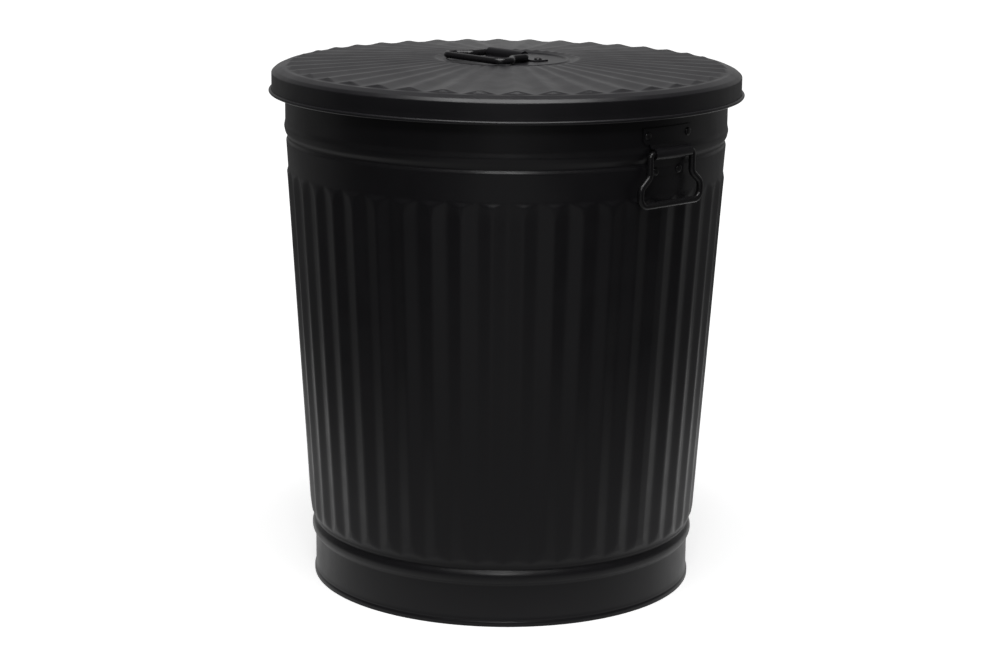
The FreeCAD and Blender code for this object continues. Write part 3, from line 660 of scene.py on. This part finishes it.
# Each side bracket's upper and lower pair: height, radius of the wall there, degrees from the bracket's
# middle, lean of the wall
SIDE_PAIRS = [(545.0, 251.5, 7.0344, 0.0), (506.0, 250.2136, 4.0794, 3.64)]

# The lid bracket's two pairs: along and across the boss
BOSS_PAIRS = [(19.0, 30.8), (-20.0, 17.8)]

# Rivets and wire stay smooth up to this angle between faces
ROUND_CREASE = 60.0

# Powder coat on domed rivet heads: the film flows smoother over them than over the sheet
rivet_coat = powder_coat(
    "black_coated_rivets", colour="#1b1a1c", dusty="#2a292b", smooth=0.26, matt=0.36, peel=0.15,
)


def turned(corners, place, steps=20):
    """A shape turned about X: each corner's radius is swept round, then moved to its place."""
    path = rounded(corners, steps=4)
    sweep = np.radians(np.linspace(0.0, 360.0, steps, endpoint=False))[None, :]
    across, out = path[:, 1:], path[:, :1] + 0.0 * sweep
    grid = np.stack([out, across * np.cos(sweep), across * np.sin(sweep)], axis=-1)
    spots, faces = with_poles(grid, (path[0, 0], 0.0, 0.0), (path[-1, 0], 0.0, 0.0))
    spots = spots @ np.array(place.to_3x3()).T + np.array(place.translation)
    return spots, faces


def gathered(shapes):
    """Several shapes as one: each one's faces are counted on from the points before it."""
    spots, faces, count = [], [], 0
    for points, cells in shapes:
        spots.append(points)
        faces += [[corner + count for corner in cell] for cell in cells]
        count += len(points)
    return np.concatenate(spots), faces


def spin(degrees, axis):
    """A turn by an angle in degrees about one axis."""
    return Matrix.Rotation(math.radians(degrees), 4, axis)


side_places = []
for turn in (0.0, 180.0):
    for way in (-1.0, 1.0):
        for height, radius, arc, lean in SIDE_PAIRS:
            spot = Matrix.Translation((radius, 0.0, height))
            side_places.append(spin(turn + way * arc, "Z") @ spot @ spin(lean, "Y"))
boss_places = []
for along_boss, across_boss in BOSS_PAIRS:
    for way in (-1.0, 1.0):
        spot = Matrix.Translation((way * across_boss, along_boss, LID_REST + BOSS_LEVEL))
        boss_places.append(spot @ spin(-90.0, "Y"))

for name, places, body, node in (
    ("side_rivets", side_places, "can", "bracket_rivets"),
    ("boss_rivets", boss_places, "lid", "lid_rivets"),
):
    shapes = [turned(corners, place) for place in places for corners in (RIVET_HEAD, RIVET_TAIL)]
    rivets = make_piece(name, *gathered(shapes), rivet_coat, ROUND_CREASE)
    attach(rivets, body)
    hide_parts(node)


# ---------------------------------------------------------------------------------------------
# Bails
# Drop handles of 7.5 mm steel wire: a bar held by the knuckle, short necks, flares and a straight
# grip for four fingers. The wire's ends butt together inside the knuckle.
# ---------------------------------------------------------------------------------------------

# Radius of the wire; the hinge line of the side bails, by height and radius, and the height of the lid's
WIRE = 3.75
HANDLE_HEIGHT = 526.0
BAR_RADIUS = 257.4
LID_BAR = 606.5674

# Half of the wire's line, from the butt to the middle of the grip: across, along, bend radius
BAIL_HALF = [
    (0.3, 0.0, 0.0),
    (32.75, 0.0, 4.6),
    (32.75, -24.2, 9.0),
    (46.35, -36.0, 9.0),
    (46.35, -55.0, 9.5),
    (10.0, -55.0, 0.0),
    (0.0, -55.0, 0.0),
]

# Powder coat on round wire: thinner and smoother than on the sheet, so it shines in narrow lines
wire_coat = powder_coat(
    "black_coated_wire", colour="#19181a", dusty="#262527", smooth=0.22, matt=0.32, peel=0.1,
)


def bail_points(steps=20):
    """Round wire along a flat path: rings square to it, of the wire's radius, with the path's two ends.

    A ring's point lies off the path by the cosine of its angle sideways and by its sine upwards.
    """
    half = rounded(BAIL_HALF, steps=9)
    path = np.concatenate([half * [-1.0, 1.0], half[:-1][::-1]])
    along = np.gradient(path, axis=0)
    side = np.stack([along[:, 1], -along[:, 0]], axis=-1) / np.linalg.norm(along, axis=1)[:, None]
    sweep = np.radians(np.linspace(0.0, 360.0, steps, endpoint=False))[None, :, None]
    flat = path[:, None, :] + WIRE * np.cos(sweep) * side[:, None, :]
    lift = WIRE * np.sin(sweep) + 0.0 * flat[..., :1]
    return np.concatenate([flat, lift], axis=-1), (*path[0], 0.0), (*path[-1], 0.0)


bail_grid, bail_start, bail_end = bail_points()
bail_spots, bail_faces = with_poles(bail_grid, bail_start, bail_end)
bail_faces = [face[::-1] for face in bail_faces]
# The flat wire turned to hang on the wall: across becomes Y, along becomes Z
hanging = np.array([[0.0, 0.0, 1.0], [1.0, 0.0, 0.0], [0.0, 1.0, 0.0]])
for side, way in (("right", 1.0), ("left", -1.0)):
    hung = bail_spots @ hanging.T + [BAR_RADIUS, 0.0, HANDLE_HEIGHT]
    bail = make_piece(f"side_handle_{side}", hung * [way, way, 1.0], bail_faces, wire_coat, ROUND_CREASE)
    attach(bail, f"{side}_handle")
    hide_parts(f"bail_{side}")
lid_bail_spots = bail_spots + [0.0, 0.0, LID_BAR]
lid_handle = make_piece("lid_handle_bail", lid_bail_spots, bail_faces, wire_coat, ROUND_CREASE)
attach(lid_handle, "lid_handle")
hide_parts("lid_bail")


# ---------------------------------------------------------------------------------------------
# Floor, light and camera
# A pale studio sweep: the floor and what lies behind the can are white, and the room in front and at
# the sides is dark. One wide lamp hangs above and a little in front, and a small one in front.
# Lengths are in metres here.
# ---------------------------------------------------------------------------------------------

# Degrees by which the view from the front, along +Y, is turned towards the right handle
FACING = 46.5
AWAY = Vector((0.0, 1.0, 0.0))
AWAY.rotate(Matrix.Rotation(math.radians(FACING), 3, "Z"))
ASIDE = AWAY.cross(Vector((0.0, 0.0, 1.0)))

# Half the floor's width, and how far it lies under the can's foot, so that the two don't flicker
REACH = 30.0
FLOOR_DROP = 0.0002

floor_corners = [(-REACH, -REACH, 0.0), (REACH, -REACH, 0.0), (REACH, REACH, 0.0), (-REACH, REACH, 0.0)]
floor_mesh = bpy.data.meshes.new("studio_floor")
floor_mesh.from_pydata(floor_corners, [], [(0, 1, 2, 3)])
floor = bpy.data.objects.new("studio_floor", floor_mesh)
bpy.context.scene.collection.objects.link(floor)
floor.location.z = -FLOOR_DROP

# White paper. In reflections it is white beside the can and behind it, and fades to the dark room in
# front and at the sides. Seen directly, it is a matt white that takes the can's soft shadow, with a glow
# added that is weaker near the can than far away, where the lamps don't reach.
paper = bpy.data.materials.new("white_paper_sweep")
paper.use_nodes = True
paper_tree = paper.node_tree
paper_tree.nodes.clear()
paper_place = add_node(paper_tree, "ShaderNodeTexCoord").outputs["Object"]
behind = add_node(paper_tree, "ShaderNodeVectorMath", {0: paper_place, 1: AWAY}, operation="DOT_PRODUCT")
lit = add_node(paper_tree, "ShaderNodeMapRange", {
    "Value": behind.outputs["Value"], "From Min": -0.4, "From Max": 0.5, "To Min": 0.2, "To Max": 0.9,
})
sideways = add_node(paper_tree, "ShaderNodeVectorMath", {
    0: paper_place, 1: ASIDE,
}, operation="DOT_PRODUCT")
off_axis = add_node(paper_tree, "ShaderNodeMath", {0: sideways.outputs["Value"]}, operation="ABSOLUTE")
width = add_node(paper_tree, "ShaderNodeMapRange", {
    "Value": off_axis.outputs[0], "From Min": 0.45, "From Max": 0.9, "To Min": 1.0, "To Max": 0.15,
})
level = add_node(paper_tree, "ShaderNodeMath", {
    0: lit.outputs["Result"], 1: width.outputs["Result"],
}, operation="MULTIPLY")
glow = add_node(paper_tree, "ShaderNodeEmission", {"Strength": level.outputs[0]})
matt = add_node(paper_tree, "ShaderNodeBsdfDiffuse", {"Color": linear("#fafafa")})
distance = add_node(paper_tree, "ShaderNodeVectorMath", {0: paper_place}, operation="LENGTH")
fill = add_node(paper_tree, "ShaderNodeMapRange", {
    "Value": distance.outputs["Value"], "From Min": 0.4, "From Max": 2.2, "To Min": 0.66, "To Max": 1.0,
})
white = add_node(paper_tree, "ShaderNodeEmission", {"Strength": fill.outputs["Result"]})
seen = add_node(paper_tree, "ShaderNodeAddShader", {0: matt.outputs[0], 1: white.outputs[0]})
ray = add_node(paper_tree, "ShaderNodeLightPath")
paper_mix = add_node(paper_tree, "ShaderNodeMixShader", {
    0: ray.outputs["Is Camera Ray"], 1: glow.outputs[0], 2: seen.outputs[0],
})
add_node(paper_tree, "ShaderNodeOutputMaterial", {"Surface": paper_mix.outputs[0]})
floor_mesh.materials.append(paper)

world = bpy.data.worlds.new("studio")
bpy.context.scene.world = world
world.use_nodes = True
sky = world.node_tree
sky.nodes.clear()
direction = add_node(sky, "ShaderNodeTexCoord").outputs["Generated"]
backward = add_node(sky, "ShaderNodeVectorMath", {0: direction, 1: AWAY}, operation="DOT_PRODUCT")
# In reflections the backdrop is pale and the room in front is dark; seen directly all of it is white
backdrop = add_node(sky, "ShaderNodeMapRange", {
    "Value": backward.outputs["Value"], "From Min": 0.4, "From Max": 1.0, "To Min": 0.08, "To Max": 0.5,
})
sky_ray = add_node(sky, "ShaderNodeLightPath")
sky_level = add_node(sky, "ShaderNodeMix", {
    0: sky_ray.outputs["Is Camera Ray"], 2: backdrop.outputs["Result"], 3: 1.0,
}, data_type="FLOAT")
sky_light = add_node(sky, "ShaderNodeBackground", {"Strength": sky_level.outputs[0]})
add_node(sky, "ShaderNodeOutputWorld", {"Surface": sky_light.outputs[0]})


def lamp(name, size, power, spot, target):
    """A square soft lamp at a spot, turned towards its target."""
    light = bpy.data.lights.new(name, "AREA")
    light.size = size
    light.energy = power
    made = bpy.data.objects.new(name, light)
    bpy.context.scene.collection.objects.link(made)
    made.location = spot
    made.rotation_euler = (Vector(target) - Vector(spot)).to_track_quat("-Z", "Y").to_euler()


TOWARDS_CAMERA = -AWAY
UPPER_BODY = (0.0, 0.0, 0.4)

# Name, width, watts, height, distance towards the camera
for name, size, power, height, nearer in (
    ("overhead_softbox", 1.5, 30.0, 2.3, 0.5),
    ("front_softbox", 0.5, 8.0, 1.9, 2.2),
):
    lamp(name, size, power, Vector((0.0, 0.0, height)) + nearer * TOWARDS_CAMERA, UPPER_BODY)

# The camera as fitted to the photograph: distance from the can's axis, height over the floor, sensor and
# lens in millimetres, and turns in radians
CAMERA_DISTANCE, CAMERA_HEIGHT = 2.8002, 0.9334
SENSOR, LENS = 36.0, 88.877
CAMERA_YAW, CAMERA_PITCH, CAMERA_ROLL = 0.0015, 0.2288, 0.0120

camera_data = bpy.data.cameras.new("photo_camera")
camera_data.sensor_width = SENSOR
camera_data.lens = LENS
camera = bpy.data.objects.new("photo_camera", camera_data)
bpy.context.scene.collection.objects.link(camera)
camera.matrix_world = (
    Matrix.Rotation(math.radians(FACING), 4, "Z")
    @ Matrix.Translation((0.0, -CAMERA_DISTANCE, CAMERA_HEIGHT))
    @ Matrix.Rotation(CAMERA_YAW, 4, "Z")
    @ Matrix.Rotation(math.pi / 2.0 - CAMERA_PITCH, 4, "X")
    @ Matrix.Rotation(CAMERA_ROLL, 4, "Z")
)
bpy.context.scene.camera = camera
bpy.context.scene.view_settings.view_transform = "Standard"
